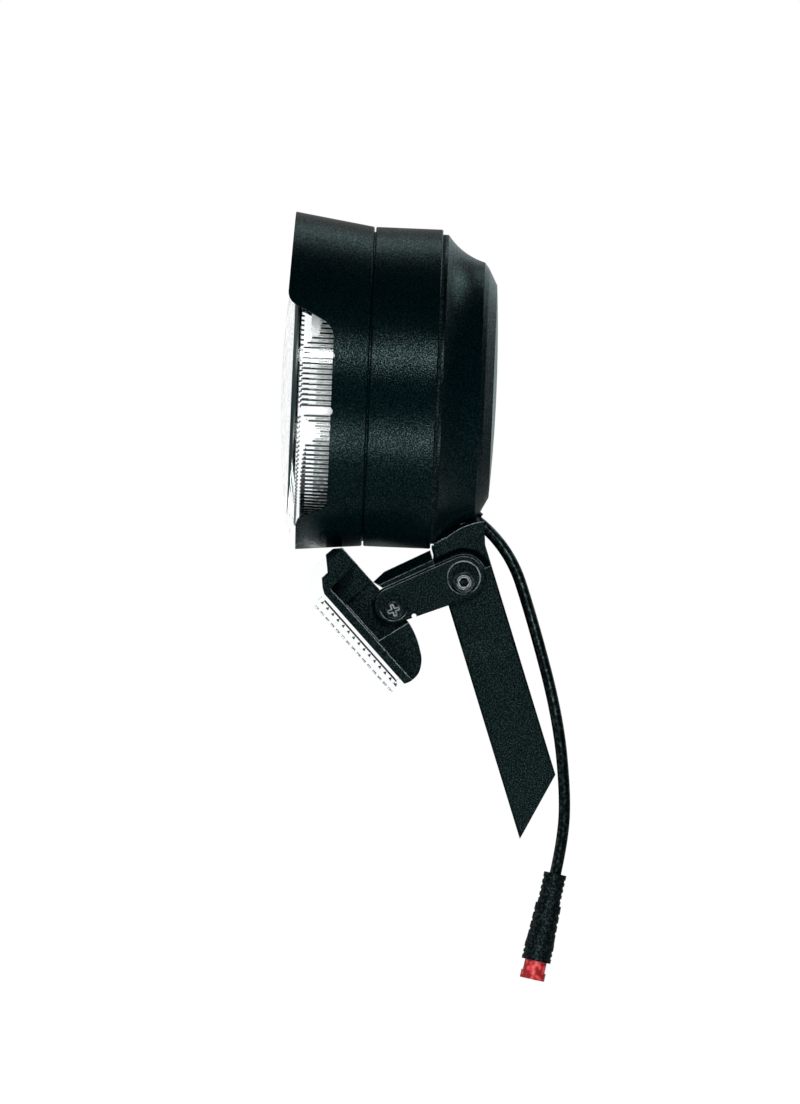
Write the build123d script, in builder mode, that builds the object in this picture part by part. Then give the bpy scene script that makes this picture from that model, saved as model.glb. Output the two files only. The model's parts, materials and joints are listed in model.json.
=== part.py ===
from build123d import *
import math
import os

os.makedirs("parts", exist_ok=True)

# Bicycle headlight on a mitred stem, with a front reflector on a short link.
# X is across the bicycle, the light shines towards -Y, Z is up, all in millimetres.
# The origin is where the crown bolt's bore meets the stem's mitred foot face.

# Mounting stem
stem_lean = 19.4
stem_depth = 16.0
stem_width = 14.0
stem_pivot_height = 71.46
stem_pivot_offset = -1.52
foot_mitre = 44.0
crown_bore_r = 3.25
crown_head_r = 5.3
crown_seat_depth = 6.0
shoulder_below_pivot = 18.46
shoulder_length = 5.0
fork_front_rise = 8.5
fork_front_slope = (0.2, 5.5)
fork_back_rise = 9.04
fork_back_flare = 1.9
fork_flare_length = 7.2
fork_top = 16.8
slot_floor_gap = 1.4
link_relief_margin = 2.0
link_relief_depth = 1.5
link_relief_boss_r = 5.0
edge_break = 0.6

# Tilt pivot
pivot_bolt_r = 2.0
pivot_head_r = 3.25
pivot_head_height = 3.6
pivot_head_round = 0.5
pivot_socket_r = 1.7
pivot_socket_depth = 2.4
pivot_socket_flare = 0.4
pivot_nut_r = 3.9
pivot_nut_height = 3.2
pivot_bolt_beyond_nut = 0.8
bush_wall = 1.2
lug_width = 10.0
lug_r = 7.0
cheek_thickness = 4.0
washer_thickness = 0.5
washer_r = 5.5
running_gap = 0.06
side_gap = 0.1
fit_gap = 0.02
tilt_up = 12.0
arch_gap = 0.4
arch_steps = 4

# Lamp head
body_r = 48.4
body_length = 20.6
body_wall = 2.5
body_edge = 0.3
pivot_below_body = 9.75
pivot_behind_seam = 31.2
seam_gap = 0.45
seam_depth = 1.5
bezel_wall = 2.6
bezel_mouth_flare = 3.1
bezel_mouth_rise = 0.8
bezel_length = 26.0
hood_top_edge = 23.2
hood_corner_edge = 25.4
hood_corner_drop = 23.8
window_edge = 11.1
window_top_drop = 7.2
window_bottom_rise = 3.8
window_notch_r = 1.1
window_notch_depth = 0.6
window_notch_rise = 8.35
lip_edge = 20.4
lip_height = 7.4
lip_bottom_edge = 19.8
spigot_length = 3.3
spigot_wall = 1.8
spigot_clearance = 0.1
ledge_start = 12.4
ledge_thickness = 2.6
ledge_reach = 6.4

# Lens
lens_step = 3.2
lens_wall = 2.0
lens_edge = 23.1
lens_dome = 3.4
lens_corner = 0.9
lens_flange_overhang = 0.3
lens_flange_thickness = 1.5
gasket_thickness = 1.2

# Reflector bowl and light source
bowl_gap = 0.6
bowl_wall = 1.4
bowl_front = 18.0
bowl_skirt_step = 4.2
bowl_neck_r = 8.0
bowl_belly_depth = 0.5
bowl_belly_inset = 12.1
bowl_belly_out = (1.05, 0.9)
board_thickness = 1.6
led_board_r = 14.0
led_size = 5.0
led_height = 1.3
sink_gap = 1.6
sink_base = 3.0
sink_fin_height = 6.5
sink_fin_thickness = 1.6
sink_fin_pitch = 6.5
sink_fin_count = 7
driver_r = 22.0
driver_gap = 1.8
pin_r = 0.5
pin_spacing = 5.0
pin_offset = 3.2
pin_hole_r = 1.5
inductor_r = 4.5
inductor_height = 4.6
inductor_offset = 5.5
capacitor_r = 3.0
capacitor_height = 4.0
capacitor_offset = 5.0

# Rear cover
rear_gasket_thickness = 0.8
groove_step = 1.5
groove_width = 0.9
cover_wall = 2.4
flare_drop = 9.4
flare_length = 11.3
flare_sag = 1.2
rim_drop = 1.8
rim_length = 1.4
band_drop = 5.0
band_length = 2.6
dome_rise = 1.1
register_length = 4.0
register_wall = 2.0
register_gap = 0.15
lug_web = 10.5
lug_web_shoulder = (6.6, 2.4)
lug_nose_gap = 0.2
lug_nose_rise = 5.65
cover_corner = (1.9, 1.4)
band_corner = 0.8
post_inset = 5.0
post_r = 3.6
post_reach = 5.2
board_post_circle_r = 17.0
board_post_r = 2.6
screw_r = 1.4
screw_head_r = 2.6
screw_head_height = 1.8
screw_grip = 7.0
board_screw_grip = 5.5
board_screw_head_height = 1.6

# Reflector link
link_length = 22.85
link_slope = 24.0
link_rise = 1.7
link_pivot_end_shift = 0.7
link_pivot_end_r = 6.75
link_screw_end_r = 5.75
link_plate = 3.0
link_edge = 0.7
pivot_recess_centre = (0.5, 1.4)
pivot_recess_r = 4.95
screw_recess_centre = (0.4, 1.1)
screw_recess_r = 4.25
link_notch_centre = (5.1, -3.9)
link_notch_r = 0.75
nut_recess_r = 4.3
screw_nut_recess_r = 3.4
recess_depth = 1.5
web_gap = 0.4
web_depth = 6.4
web_nose = (-2.6, 2.6)
web_brow = (1.55, 0.95)
web_throat = (2.5, -0.6)
web_lip = 1.0
web_shoulder = 3.0

# Front reflector
reflector_angle = 45.9
reflector_height = 39.2
reflector_width = 48.0
reflector_lens_depth = 4.7
reflector_depth = 18.0
reflector_screw_back = 17.03
reflector_screw_offset = 1.42
reflector_plate = 1.8
reflector_skirt = 1.5
reflector_rim = 2.4
reflector_wall = 2.0
reflector_corner = 3.0
body_inset = 0.5
lens_undercut = 0.5
# Upper end of the lens, as steps along and behind the plate's upper rear corner
wing_inside = [(3.4, 0.0), (1.6, 0.9), (-0.8, 2.7), (-0.8, 5.1)]
wing_outside = [(-4.7, 7.0), (-5.1, 3.7), (-4.3, 0.6), (-0.7, -2.4)]
housing_top = [(-5.2, 8.2), (-5.1, 11.0)]
housing_top_end = -3.5
# Lower end of the housing: arcs, each by its middle and its end, as steps from the plate's lower rear corner
nose_margin = 0.6
housing_nose = [((1.3, 2.6), (1.1, 5.2)), ((-0.6, 7.9), (-3.9, 10.3)), ((-8.0, 12.2), (-12.4, 13.3))]
slot_top = -9.7
slot_bottom = 5.4
slot_lean = 1.9
slot_floor = 0.5
frame_fold = 3.4
pocket_depth = 6.5
pocket_margin = 7.0
reflector_screw_r = 1.5
reflector_head_r = 2.9
reflector_head_height = 2.0
reflector_head_round = 0.65
reflector_nut_r = 3.1
reflector_nut_height = 2.4
cross_length = 3.4
cross_width = 0.8
cross_depth = 1.2

# Cable and connector
cable_r = 1.75
gland_r = 2.8
gland_length = 3.0
gland_seat = 2.0
gland_channel = 7.0
gland_angle = 36.0
gland_in_from_edge = 1.4
gland_under_edge = 1.3
arc_share = 0.45
cable_points = [
    (0.0, -12.035, 78.531),
    (4.6, -3.75, 56.0),
    (9.6, 4.9, 27.6),
    (11.6, 8.1, 5.0),
    (11.9, 8.1, -9.0),
    (11.9, 6.15, -19.9),
]
plug_neck_r = 3.45
plug_neck_length = 9.5
plug_neck_ribs = 4
plug_body_r = 3.9
plug_body_taper = 0.35
plug_body_length = 11.0
plug_body_ribs = 3
plug_collar_r = 4.45
plug_collar_ribs = 2
plug_length = 27.0
plug_flare = 1.5
plug_rib_depth = 0.25
plug_rib_width = 0.8
insert_r = 3.35
insert_flange_r = 3.75
insert_length = 5.7
insert_flange_length = 2.4
insert_socket_r = 2.6
insert_socket_depth = 4.2
plug_pin_r = 0.45
plug_pin_spacing = 2.4
plug_pin_length = 3.6

# Layout worked out from the sizes above
lean = math.radians(stem_lean)
pivot_y = stem_pivot_offset * math.cos(lean) - stem_pivot_height * math.sin(lean)
pivot_z = stem_pivot_offset * math.sin(lean) + stem_pivot_height * math.cos(lean)
lamp_y = pivot_y - pivot_behind_seam
lamp_z = pivot_z + body_r + pivot_below_body
slope = math.radians(link_slope)
screw_y = pivot_y - link_length * math.cos(slope)
screw_z = pivot_z - link_length * math.sin(slope)
fork_inner = lug_width / 2 + washer_thickness
fork_outer = fork_inner + cheek_thickness
link_inner = fork_outer + side_gap
link_outer = link_inner + link_plate
head_seat = link_outer - recess_depth
bush_r = pivot_bolt_r + running_gap + bush_wall
bezel_mouth_r = body_r + bezel_mouth_flare
hood_corner_rise = body_r - hood_corner_drop
lip_top = lip_height - body_r
lens_r = body_r - lens_step
spigot_r = body_r - bezel_wall - spigot_clearance
bowl_r = lens_r - lens_wall - bowl_gap
post_circle_r = bowl_r - post_inset
sink_r = post_circle_r - post_r - sink_gap
ledge_inner_r = sink_r - ledge_reach
groove_r = body_r - groove_step
flare_end_r = body_r - flare_drop
rim_end_r = flare_end_r - rim_drop
band_end_r = rim_end_r - band_drop

side = Plane.YZ
stem_side = Plane(origin=(0, 0, 0), x_dir=(0, math.cos(lean), math.sin(lean)), z_dir=(1, 0, 0))
lamp_side = Plane(origin=(0, lamp_y, lamp_z), x_dir=(0, 1, 0), z_dir=(1, 0, 0))
lamp_axis = Axis((0, lamp_y, lamp_z), (0, 1, 0))
pivot_axis = Axis((0, pivot_y, pivot_z), (1, 0, 0))
link_side = Plane(origin=(0, screw_y, screw_z), x_dir=(0, math.cos(slope), math.sin(slope)), z_dir=(1, 0, 0))
tip_angle = math.radians(reflector_angle)
plate_down = Vector(0, math.cos(tip_angle), -math.sin(tip_angle))
plate_back = Vector(0, math.sin(tip_angle), math.cos(tip_angle))
plate_origin = (
    Vector(0, screw_y, screw_z) - plate_down * reflector_screw_offset - plate_back * reflector_screw_back
)
plate_side = Plane(origin=plate_origin, x_dir=plate_down, z_dir=(1, 0, 0))


def lamp_plane(behind_seam):
    """The plane square to the lamp's axis, that far behind the seam."""
    return Plane(origin=(0, lamp_y + behind_seam, lamp_z), x_dir=(-1, 0, 0), z_dir=(0, 1, 0))


def dome_half_rise(edge_r, rise):
    """How far a spherical dome stands out at half its edge radius."""
    ball_r = (edge_r**2 + rise**2) / (2 * rise)
    return rise - ball_r + math.sqrt(ball_r**2 - (edge_r / 2) ** 2)


# Outline of the rear cover, as distance behind the seam and radius
cover_start = body_length + rear_gasket_thickness
groove_end = cover_start + groove_width
flare_end = groove_end + flare_length
rim_end = flare_end + rim_length
band_end = rim_end + band_length
cover_end = band_end + dome_rise


# Front bezel: a flared shell with a hood above, a lip below and open sides
def bezel_shell(inset):
    """The flared body of the bezel, drawn in by the given amount."""
    with BuildPart() as shell:
        with BuildSketch(lamp_plane(-seam_gap / 2)):
            Circle(body_r - inset)
        with BuildSketch(lamp_plane(-bezel_length)):
            with Locations((0, bezel_mouth_rise)):
                Circle(bezel_mouth_r - inset)
        loft(ruled=True)
    return shell.part


flange_back = -(spigot_length + gasket_thickness)
flange_front = flange_back - lens_flange_thickness

with BuildPart() as front_bezel:
    add(bezel_shell(0))
    add(bezel_shell(bezel_wall), mode=Mode.SUBTRACT)
    with BuildSketch(lamp_plane(flange_front)):
        Circle(body_r - bezel_wall / 2)
        Circle(lens_r + spigot_clearance, mode=Mode.SUBTRACT)
    extrude(amount=-lens_flange_thickness)
    with BuildSketch(lamp_side):
        with BuildLine():
            FilletPolyline(
                (-hood_top_edge, body_r + bezel_length),
                (-hood_corner_edge, hood_corner_rise),
                (-window_edge, hood_corner_rise - window_top_drop),
                (-window_edge, lip_top + window_bottom_rise),
                (-lip_edge, lip_top),
                (-lip_bottom_edge, -body_r - bezel_length),
                radius=[4.5, 6.0, 3.5, 3.0],
            )
            Polyline(
                (-lip_bottom_edge, -body_r - bezel_length),
                (-2 * bezel_length, -body_r - bezel_length),
                (-2 * bezel_length, body_r + bezel_length),
                (-hood_top_edge, body_r + bezel_length),
            )
        make_face()
        for rise in (window_notch_rise, -window_notch_rise):
            with Locations((window_notch_depth - window_notch_r - window_edge, rise)):
                Circle(window_notch_r)
    extrude(amount=2 * body_r, both=True, mode=Mode.SUBTRACT)
    seam_edges = front_bezel.edges().filter_by(GeomType.CIRCLE).sort_by(Axis.Y)[-2:]
    chamfer(seam_edges.sort_by(SortBy.RADIUS)[-1], length=body_edge)
front_bezel.part.label = "front_bezel"
export_step(front_bezel.part, "parts/front_bezel.step")

# Front lens: a clear domed cup with a flange at its open end
lens_inner_r = lens_r - lens_wall
dome_r = lens_r - lens_corner
with BuildPart() as front_lens:
    with BuildSketch(lamp_side):
        with BuildLine():
            ThreePointArc(
                (-lens_edge, dome_r),
                (-lens_edge - dome_half_rise(dome_r, lens_dome), dome_r / 2),
                (-lens_edge - lens_dome, 0),
            )
            Polyline(
                (-lens_edge, dome_r),
                (-lens_edge + lens_corner, lens_r),
                (flange_front, lens_r),
                (flange_front, spigot_r + lens_flange_overhang),
                (flange_back, spigot_r + lens_flange_overhang),
                (flange_back, lens_inner_r),
                (-lens_edge + lens_wall, lens_inner_r),
            )
            ThreePointArc(
                (-lens_edge + lens_wall, lens_inner_r),
                (-lens_edge - dome_half_rise(lens_inner_r, lens_dome) + lens_wall, lens_inner_r / 2),
                (-lens_edge - lens_dome + lens_wall, 0),
            )
            Line((-lens_edge - lens_dome + lens_wall, 0), (-lens_edge - lens_dome, 0))
        make_face()
    revolve(axis=lamp_axis)
front_lens.part.label = "front_lens"
export_step(front_lens.part, "parts/front_lens.step")

# Lens gasket: a silicone ring between the lens flange and the housing's spigot
with BuildPart() as lens_gasket:
    with BuildSketch(lamp_plane(-spigot_length)):
        Circle(spigot_r)
        Circle(spigot_r - spigot_wall, mode=Mode.SUBTRACT)
    extrude(amount=-gasket_thickness)
lens_gasket.part.label = "lens_gasket"
export_step(lens_gasket.part, "parts/lens_gasket.step")

# Main housing: a plain ring with a spigot in front and a carrier ledge inside
body_inner_r = body_r - body_wall
spigot_inner_r = spigot_r - spigot_wall
ledge_end = ledge_start + ledge_thickness
with BuildPart() as main_housing:
    with BuildSketch(lamp_side):
        with BuildLine():
            Polyline(
                (seam_gap / 2, body_r - body_edge),
                (seam_gap / 2 + body_edge, body_r),
                (body_length - body_edge, body_r),
                (body_length, body_r - body_edge),
                (body_length, body_inner_r),
                (ledge_end, body_inner_r),
                (ledge_end, ledge_inner_r),
                (ledge_start, ledge_inner_r),
                (ledge_start, body_inner_r),
                (seam_gap / 2 + body_wall, body_inner_r),
                (seam_gap / 2 + body_wall, spigot_inner_r),
                (-spigot_length, spigot_inner_r),
                (-spigot_length, spigot_r),
                (-seam_gap / 2, spigot_r),
                (-seam_gap / 2, body_r - seam_depth),
                (seam_gap / 2, body_r - seam_depth),
                close=True,
            )
        make_face()
    revolve(axis=lamp_axis)
    with BuildSketch(lamp_plane(ledge_start)):
        with PolarLocations(post_circle_r, 4, start_angle=45):
            Circle(screw_r + side_gap)
        with PolarLocations(sink_r - screw_head_r, 4):
            Circle(screw_r + side_gap)
    extrude(amount=ledge_thickness, mode=Mode.SUBTRACT)
main_housing.part.label = "main_housing"
export_step(main_housing.part, "parts/main_housing.step")

# Reflector bowl: a bright skirt behind the lens wall and a deep mirror inside it
board_front = ledge_end - board_thickness
bowl_back = board_front - running_gap
mirror_edge_r = bowl_r - bowl_wall
belly_r = bowl_r - bowl_belly_inset
with BuildPart() as reflector_bowl:
    with BuildSketch(lamp_side):
        with BuildLine():
            Polyline(
                (-bowl_front, mirror_edge_r),
                (-bowl_front, bowl_r),
                (ledge_start, bowl_r),
                (ledge_start, mirror_edge_r),
                (bowl_skirt_step - bowl_front, mirror_edge_r),
            )
            ThreePointArc(
                (bowl_skirt_step - bowl_front, mirror_edge_r),
                (bowl_belly_depth + bowl_belly_out[0], belly_r + bowl_belly_out[1]),
                (bowl_back, bowl_neck_r + bowl_wall),
            )
            Line((bowl_back, bowl_neck_r + bowl_wall), (bowl_back, bowl_neck_r))
            ThreePointArc((bowl_back, bowl_neck_r), (bowl_belly_depth, belly_r), (-bowl_front, mirror_edge_r))
        make_face()
    revolve(axis=lamp_axis)
reflector_bowl.part.label = "reflector_bowl"
export_step(reflector_bowl.part, "parts/reflector_bowl.step")

# Light source: a lamp board with its emitter, on a finned heat sink behind the ledge
with BuildPart() as led_board:
    with BuildSketch(lamp_plane(board_front)):
        Circle(led_board_r)
    extrude(amount=board_thickness)
led_board.part.label = "led_board"
export_step(led_board.part, "parts/led_board.step")

with BuildPart() as led_emitter:
    with BuildSketch(lamp_plane(board_front)):
        Rectangle(led_size, led_size)
    extrude(amount=-led_height)
led_emitter.part.label = "led_emitter"
export_step(led_emitter.part, "parts/led_emitter.step")

sink_screw_circle_r = sink_r - screw_head_r
pin_places = [(-pin_spacing / 2, pin_offset), (pin_spacing / 2, pin_offset)]
with BuildPart() as heat_sink:
    with BuildSketch(lamp_plane(ledge_end)):
        Circle(sink_r)
        with PolarLocations(sink_screw_circle_r, 4):
            Circle(screw_r + side_gap, mode=Mode.SUBTRACT)
        with Locations(*pin_places):
            Circle(pin_hole_r, mode=Mode.SUBTRACT)
    extrude(amount=sink_base)
    with BuildSketch(lamp_plane(ledge_end + sink_base)):
        with GridLocations(0, sink_fin_pitch, 1, sink_fin_count):
            Rectangle(2 * sink_r, sink_fin_thickness)
        Circle(sink_screw_circle_r - 2 * screw_head_r, mode=Mode.INTERSECT)
    extrude(amount=sink_fin_height)
heat_sink.part.label = "heat_sink"
export_step(heat_sink.part, "parts/heat_sink.step")

sink_back = ledge_end + sink_base
with BuildPart() as heat_sink_screws:
    with BuildSketch(lamp_plane(sink_back)):
        with PolarLocations(sink_screw_circle_r, 4):
            Circle(screw_head_r)
    extrude(amount=screw_head_height)
    with BuildSketch(lamp_plane(sink_back)):
        with PolarLocations(sink_screw_circle_r, 4):
            Circle(screw_r)
    extrude(amount=-screw_grip)
heat_sink_screws.part.label = "heat_sink_screws"
export_step(heat_sink_screws.part, "parts/heat_sink_screws.step")

# Driver board behind the fins, with its parts and the two pins that feed the lamp board
driver_front = sink_back + sink_fin_height + driver_gap
driver_back = driver_front + board_thickness
with BuildPart() as driver_board:
    with BuildSketch(lamp_plane(driver_front)):
        Circle(driver_r)
        with PolarLocations(board_post_circle_r, 3, start_angle=90):
            Circle(screw_r + side_gap, mode=Mode.SUBTRACT)
    extrude(amount=board_thickness)
driver_board.part.label = "driver_board"
export_step(driver_board.part, "parts/driver_board.step")

with BuildPart() as driver_inductor:
    with BuildSketch(lamp_plane(driver_back)):
        with Locations((inductor_offset, 0)):
            Circle(inductor_r)
    extrude(amount=inductor_height)
driver_inductor.part.label = "driver_inductor"
export_step(driver_inductor.part, "parts/driver_inductor.step")

with BuildPart() as driver_capacitor:
    with BuildSketch(lamp_plane(driver_back)):
        with Locations((-capacitor_offset, 0)):
            Circle(capacitor_r)
    extrude(amount=capacitor_height)
driver_capacitor.part.label = "driver_capacitor"
export_step(driver_capacitor.part, "parts/driver_capacitor.step")

with BuildPart() as power_pins:
    with BuildSketch(lamp_plane(ledge_end)):
        with Locations(*pin_places):
            Circle(pin_r)
    extrude(amount=driver_front - ledge_end)
power_pins.part.label = "power_pins"
export_step(power_pins.part, "parts/power_pins.step")

with BuildPart() as board_screws:
    with BuildSketch(lamp_plane(driver_front)):
        with PolarLocations(board_post_circle_r, 3, start_angle=90):
            Circle(screw_head_r)
    extrude(amount=-board_screw_head_height)
    with BuildSketch(lamp_plane(driver_front)):
        with PolarLocations(board_post_circle_r, 3, start_angle=90):
            Circle(screw_r)
    extrude(amount=board_screw_grip)
board_screws.part.label = "board_screws"
export_step(board_screws.part, "parts/board_screws.step")

# Rear gasket and rear cover: a concave flare, a rim, a sloping band, a shallow dome, and the tilt lug below
register_r = body_inner_r - register_gap
with BuildPart() as rear_gasket:
    with BuildSketch(lamp_plane(body_length)):
        Circle(groove_r)
        Circle(body_inner_r, mode=Mode.SUBTRACT)
    extrude(amount=rear_gasket_thickness)
rear_gasket.part.label = "rear_gasket"
export_step(rear_gasket.part, "parts/rear_gasket.step")

lug_height = lamp_z - pivot_z
lug_front = pivot_behind_seam - lug_r
lug_nose = cover_start + lug_nose_gap
gland_root = (flare_end - gland_in_from_edge, gland_under_edge - flare_end_r)
gland_way = Vector(0, math.cos(math.radians(gland_angle)), -math.sin(math.radians(gland_angle)))
gland_root_point = Vector(0, lamp_y + gland_root[0], lamp_z + gland_root[1])
gland_seat_plane = Plane(origin=gland_root_point - gland_way * gland_seat, x_dir=(1, 0, 0), z_dir=gland_way)

inner_band_r = band_end_r - band_corner
inner_corner = (flare_end - cover_corner[0], flare_end_r - cover_corner[1])
with BuildPart() as rear_cover:
    with BuildSketch(lamp_side):
        with BuildLine():
            Polyline(
                (body_length - register_length, register_r - register_wall),
                (body_length - register_length, register_r),
                (cover_start, register_r),
                (cover_start, groove_r),
                (groove_end, groove_r),
            )
            SagittaArc((groove_end, groove_r), (flare_end, flare_end_r), -flare_sag)
            Polyline((flare_end, flare_end_r), (rim_end, rim_end_r), (band_end, band_end_r))
            ThreePointArc(
                (band_end, band_end_r),
                (band_end + dome_half_rise(band_end_r, dome_rise), band_end_r / 2),
                (cover_end, 0),
            )
            Line((cover_end, 0), (cover_end - cover_wall, 0))
            ThreePointArc(
                (cover_end - cover_wall, 0),
                (band_end + dome_half_rise(inner_band_r, dome_rise) - cover_wall, inner_band_r / 2),
                (band_end - cover_wall, inner_band_r),
            )
            Line((band_end - cover_wall, inner_band_r), inner_corner)
            SagittaArc(inner_corner, (groove_end, register_r - register_wall), flare_sag)
            Line(
                (groove_end, register_r - register_wall),
                (body_length - register_length, register_r - register_wall),
            )
        make_face()
    revolve(axis=lamp_axis)
    with BuildSketch(lamp_plane(ledge_end)):
        with PolarLocations(post_circle_r, 4, start_angle=45):
            Circle(post_r)
    extrude(amount=groove_end + post_reach - ledge_end)
    with BuildSketch(lamp_plane(ledge_end)):
        with PolarLocations(post_circle_r, 4, start_angle=45):
            Circle(screw_r + side_gap)
    extrude(amount=screw_grip, mode=Mode.SUBTRACT)
    with BuildSketch(lamp_plane(driver_back)):
        with PolarLocations(board_post_circle_r, 3, start_angle=90):
            Circle(board_post_r)
    extrude(amount=band_end - cover_wall / 2 - driver_back)
    with BuildSketch(lamp_plane(driver_back)):
        with PolarLocations(board_post_circle_r, 3, start_angle=90):
            Circle(screw_r + side_gap)
    extrude(amount=board_screw_grip, mode=Mode.SUBTRACT)
    with BuildSketch(lamp_side):
        with Locations((pivot_behind_seam, -lug_height)):
            Circle(lug_r)
        with BuildLine():
            Polyline(
                (lug_front, -lug_height),
                (lug_nose, -lug_height + lug_nose_rise),
                (lug_nose, -groove_r + cover_wall),
                (groove_end + lug_web, -flare_end_r),
                (pivot_behind_seam + lug_web_shoulder[0], -lug_height + lug_web_shoulder[1]),
                close=True,
            )
        make_face()
    extrude(amount=lug_width / 2, both=True)
    with BuildSketch(lamp_side):
        with Locations((pivot_behind_seam, -lug_height)):
            Circle(bush_r + fit_gap)
    extrude(amount=lug_width, both=True, mode=Mode.SUBTRACT)
    with BuildSketch(gland_seat_plane):
        Circle(gland_r + fit_gap)
    extrude(amount=gland_seat + gland_length + gland_channel, mode=Mode.SUBTRACT)
rear_cover.part.label = "rear_cover"
export_step(rear_cover.part, "parts/rear_cover.step")

with BuildPart() as cover_screws:
    with BuildSketch(lamp_plane(ledge_start)):
        with PolarLocations(post_circle_r, 4, start_angle=45):
            Circle(screw_head_r)
    extrude(amount=-screw_head_height)
    with BuildSketch(lamp_plane(ledge_start)):
        with PolarLocations(post_circle_r, 4, start_angle=45):
            Circle(screw_r)
    extrude(amount=screw_grip)
cover_screws.part.label = "cover_screws"
export_step(cover_screws.part, "parts/cover_screws.step")

with BuildPart() as cable_gland:
    with BuildSketch(gland_seat_plane):
        Circle(gland_r)
    extrude(amount=gland_seat + gland_length)
cable_gland.part.label = "cable_gland"
export_step(cable_gland.part, "parts/cable_gland.step")

# Tilt pivot: bush in the lug, thin washers beside it, socket-head bolt and nut
with BuildPart() as pivot_bush:
    with BuildSketch(side):
        with Locations((pivot_y, pivot_z)):
            Circle(bush_r)
            Circle(pivot_bolt_r + running_gap, mode=Mode.SUBTRACT)
    extrude(amount=lug_width / 2, both=True)
pivot_bush.part.label = "pivot_bush"
export_step(pivot_bush.part, "parts/pivot_bush.step")

with BuildPart() as pivot_washers:
    with BuildSketch(side.offset(lug_width / 2 + running_gap)):
        with Locations((pivot_y, pivot_z)):
            Circle(washer_r)
            Circle(pivot_bolt_r + running_gap, mode=Mode.SUBTRACT)
    extrude(amount=washer_thickness - running_gap)
    mirror(about=side)
pivot_washers.part.label = "pivot_washers"
export_step(pivot_washers.part, "parts/pivot_washers.step")

with BuildPart() as pivot_bolt:
    with BuildSketch(side.offset(head_seat + running_gap)):
        with Locations((pivot_y, pivot_z)):
            Circle(pivot_head_r)
    extrude(amount=pivot_head_height)
    fillet(pivot_bolt.faces().sort_by(Axis.X)[-1].edges(), radius=pivot_head_round)
    with BuildSketch(side.offset(head_seat + running_gap + pivot_head_height)):
        with Locations((pivot_y, pivot_z)):
            RegularPolygon(pivot_socket_r, 6)
    extrude(amount=-pivot_socket_depth, mode=Mode.SUBTRACT)
    with BuildSketch(side.offset(head_seat + running_gap + pivot_head_height)):
        with Locations((pivot_y, pivot_z)):
            Circle(pivot_socket_r + pivot_socket_flare)
    extrude(amount=-pivot_socket_flare, taper=45, mode=Mode.SUBTRACT)
    with BuildSketch(side.offset(head_seat + running_gap)):
        with Locations((pivot_y, pivot_z)):
            Circle(pivot_bolt_r)
    extrude(amount=-2 * head_seat - 2 * running_gap - pivot_nut_height - pivot_bolt_beyond_nut)
pivot_bolt.part.label = "pivot_bolt"
export_step(pivot_bolt.part, "parts/pivot_bolt.step")

with BuildPart() as pivot_nut:
    with BuildSketch(side.offset(-head_seat - running_gap)):
        with Locations((pivot_y, pivot_z)):
            RegularPolygon(pivot_nut_r, 6)
            Circle(pivot_bolt_r + running_gap, mode=Mode.SUBTRACT)
    extrude(amount=-pivot_nut_height)
pivot_nut.part.label = "pivot_nut"
export_step(pivot_nut.part, "parts/pivot_nut.step")

# Mounting stem: mitred foot, shoulder, fork and an arch that follows the tilted rear cover
with BuildPart() as tilt_envelope:
    with BuildSketch(lamp_side):
        with BuildLine():
            Polyline(
                (cover_end + arch_gap, 0),
                (-bezel_length, 0),
                (-bezel_length, body_r + arch_gap),
                (body_length + arch_gap, body_r + arch_gap),
                (body_length + arch_gap, groove_r + arch_gap),
                (groove_end + arch_gap, groove_r + arch_gap),
            )
            SagittaArc(
                (groove_end + arch_gap, groove_r + arch_gap),
                (flare_end + arch_gap, flare_end_r + arch_gap),
                -flare_sag,
            )
            Polyline(
                (flare_end + arch_gap, flare_end_r + arch_gap),
                (rim_end + arch_gap, rim_end_r + arch_gap),
                (band_end + arch_gap, band_end_r + arch_gap),
                (cover_end + arch_gap, 0),
            )
        make_face()
    revolve(axis=lamp_axis)

half_depth = stem_depth / 2
mitre = math.radians(foot_mitre)
foot_rise = half_depth * math.tan(mitre)
fork_height = stem_pivot_height
stem_front = Plane(origin=(0, 0, 0), x_dir=(1, 0, 0), z_dir=(0, -math.cos(lean), -math.sin(lean)))
foot_out = Vector(0, math.sin(lean + mitre), -math.cos(lean + mitre))
foot_plane = Plane(origin=(0, 0, 0), x_dir=(1, 0, 0), z_dir=foot_out)


def on_stem_corner(edge):
    """Whether the edge is one of the long corners in front of or behind the stem."""
    middle = edge.center()
    across = middle.dot(stem_side.x_dir)
    return abs(abs(across) - half_depth) < fit_gap and abs(middle.X) > stem_width / 2 - fit_gap


# Sunken ground around the upper edge of the link's cheeks, with sloping walls
with BuildPart() as link_relief:
    for rise, margin in ((0, link_relief_margin - link_relief_depth), (link_relief_depth, link_relief_margin)):
        with BuildSketch(link_side.offset(fork_outer - link_relief_depth + rise)):
            with Locations((0, link_rise)):
                Circle(link_screw_end_r + margin)
            with Locations((link_length + link_pivot_end_shift, link_rise)):
                Circle(link_pivot_end_r + margin)
            make_hull()
    loft()
    with BuildSketch(link_side.offset(fork_outer)):
        with Locations((0, link_rise)):
            Rectangle(4 * link_length, 4 * link_pivot_end_r, align=(Align.CENTER, Align.MAX))
        with Locations((link_length, 0)):
            Circle(link_relief_boss_r)
    extrude(amount=-2 * link_relief_depth, mode=Mode.SUBTRACT)
    mirror(about=side)

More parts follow.
